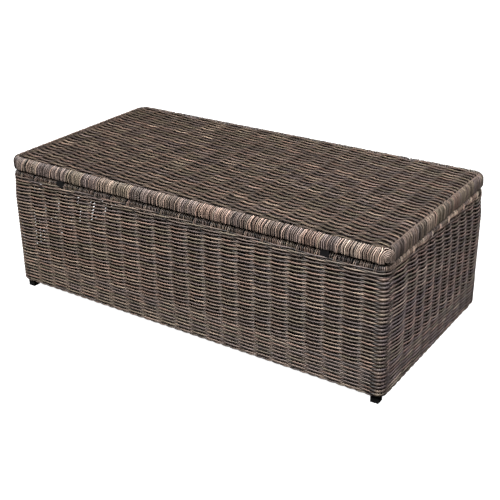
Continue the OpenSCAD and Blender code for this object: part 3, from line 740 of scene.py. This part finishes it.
def lid_stakes_and_lining():
    """Pairs of stakes in the lid's weave, and a close layer of strands laid under the rows, both painted near
    black as painted shade.
    """
    strands = Strands("wicker_top_lining")
    stakes = long_stakes() + LID_STAKE_SHIFT
    pairs = np.repeat(stakes, 2) + np.tile([-STAKE_R, STAKE_R], len(stakes))
    lining = np.arange(-(LID_X - 24), LID_X - 23, 4.6)
    for places, z, shade, points in (
            (pairs, TOP_CORE, 0.08, 40), (lining, TOP_CORE - TOP_SWING - 2.9, 0.05, 12)):
        y = np.linspace(-(LID_Y - 14), LID_Y - 14, points)
        n = len(places)
        paths = np.empty((n, len(y), 3))
        paths[:, :, 0] = places[:, None] + ripple(strands.rng, n, y, 0.3)
        paths[:, :, 1] = y
        paths[:, :, 2] = z
        strands.add(paths, (0, 0, 1), shade * dye(strands.rng, n, len(y), y[1] - y[0], 400), STAKE_R * 0.5,
                    flat=2.0)
    strands.build(SKINS[1], "lid", ["lid_weave"])


# ---------------------------------------------------------------- camera, light and floor

EYE = (1.498, -2.195, 1.413)                # place of the camera, in metres
EYE_TURN = (33.788, 25.239, -0.638)         # its yaw, its pitch downwards and its roll, in degrees
FILM = 36                                   # width of its film, in millimetres
LENS = 67.5576                              # its focal length, in millimetres


def camera():
    """Camera in front of the right corner, looking down at the table."""
    data = bpy.data.cameras.new("camera")
    data.sensor_width = FILM
    data.lens = LENS
    yaw, pitch, roll = (math.radians(a) for a in EYE_TURN)
    back = Vector((math.sin(yaw) * math.cos(pitch), -math.cos(yaw) * math.cos(pitch), math.sin(pitch)))
    right = Vector((math.cos(yaw), math.sin(yaw), 0))
    up = back.cross(right)
    x = math.cos(roll) * right + math.sin(roll) * up
    y = -math.sin(roll) * right + math.cos(roll) * up
    rotation = Matrix((x, y, back)).transposed()
    eye = bpy.data.objects.new("camera", data)
    eye.matrix_world = Matrix.Translation(EYE) @ rotation.to_4x4()
    bpy.context.scene.collection.objects.link(eye)
    bpy.context.scene.camera = eye


def area_light(name, place, target, power, colour=(1, 1, 1), size=0.8):
    """Square lamp turned towards a target; places in metres, power in watts."""
    data = bpy.data.lights.new(name, "AREA")
    data.shape = "RECTANGLE"
    data.size = data.size_y = size
    data.energy = power
    data.color = colour
    lamp = bpy.data.objects.new(name, data)
    lamp.location = place
    lamp.rotation_euler = (Vector(target) - Vector(place)).to_track_quat("-Z", "Y").to_euler()
    bpy.context.scene.collection.objects.link(lamp)


def square(half, z):
    """Corners of a level square round the middle of the floor, in metres."""
    return [(-half, -half, z), (half, -half, z), (half, half, z), (-half, half, z)]


def stage_piece(name, corners, faces, material):
    """Plain surface that is white in the picture, but throws no light at the table."""
    mesh = bpy.data.meshes.new(name)
    mesh.from_pydata(corners, [], faces)
    mesh.materials.append(material)
    piece = bpy.data.objects.new(name, mesh)
    bpy.context.scene.collection.objects.link(piece)
    piece.visible_diffuse = False
    piece.visible_glossy = False
    return piece


def studio():
    """Soft lamps over a white floor and backdrop; sizes in metres."""
    world = bpy.data.worlds.new("studio")
    world.use_nodes = True
    world.node_tree.nodes["Background"].inputs["Color"].default_value = (1, 1, 1, 1)
    world.node_tree.nodes["Background"].inputs["Strength"].default_value = 0.12
    bpy.context.scene.world = world
    bpy.context.scene.view_settings.view_transform = "Standard"
    area_light("key", (-0.8, -2.9, 3.0), (0, 0, 0.2), 520)
    area_light("side", (2.5, -0.9, 3.3), (0, 0, 0.2), 500, (0.94, 0.96, 1))
    area_light("top", (0.2, 1.5, 3.2), (0, 0, 0.4), 250)
    material, _, shader = nodes_of("studio_floor")
    shader.inputs["Base Color"].default_value = (0.2, 0.2, 0.2, 1)
    shader.inputs["Roughness"].default_value = 0.9
    shader.inputs["Emission Color"].default_value = (1, 1, 1, 1)
    shader.inputs["Emission Strength"].default_value = 1.0
    floor = stage_piece("studio_floor", square(30, 0), [(0, 1, 2, 3)], material)
    backdrop = stage_piece("studio_backdrop", square(28, -0.01) + square(28, 25),
                           [(i, (i + 1) % 4, (i + 1) % 4 + 4, i + 4) for i in range(4)], material)
    backdrop.visible_shadow = False


# ---------------------------------------------------------------- everything

def finish_frame():
    """Materials of the CAD parts that keep their own shape."""
    looks = {
        "frame_tube": coated_metal("frame_tube", linear(16, 16, 17), 0.55),
        "floor_board": board_material(),
        "black_rubber": coated_metal("black_rubber", linear(9, 9, 9), 0.85,
                                     grain=600.0, strength=0.2, shine=0.06),
        "zinc_steel": coated_metal("zinc_steel", linear(190, 190, 192), 0.35, 0.95, 500.0, 0.08),
        "bracket_black": coated_metal("bracket_black", linear(34, 34, 36), 0.5),
        "strut_black": coated_metal("strut_black", linear(22, 22, 23), 0.25, grain=300.0, strength=0.04),
        "rod_chrome": coated_metal("rod_chrome", linear(215, 215, 218), 0.14, 1.0, 300.0, 0.02),
    }
    slots = {row["node"]: row["material_slot"] for row in frame["record"]["subparts"]}
    for name, node in frame["nodes"].items():
        look = looks.get(slots[name])
        if look:
            for i in range(len(node.material_slots)):
                node.material_slots[i].material = look


# The long sides have kept some shine; the short sides and the lid have weathered dull.
SKINS = (wicker_material("wicker_strand", 0.2), wicker_material("wicker_dull", 0.04))
finish_frame()
for side in range(4):
    wall_rows(side)
    rim(side)
    lid_edge(side)
lid_top(-1)
lid_top(1)
lid_stakes_and_lining()
camera()
studio()
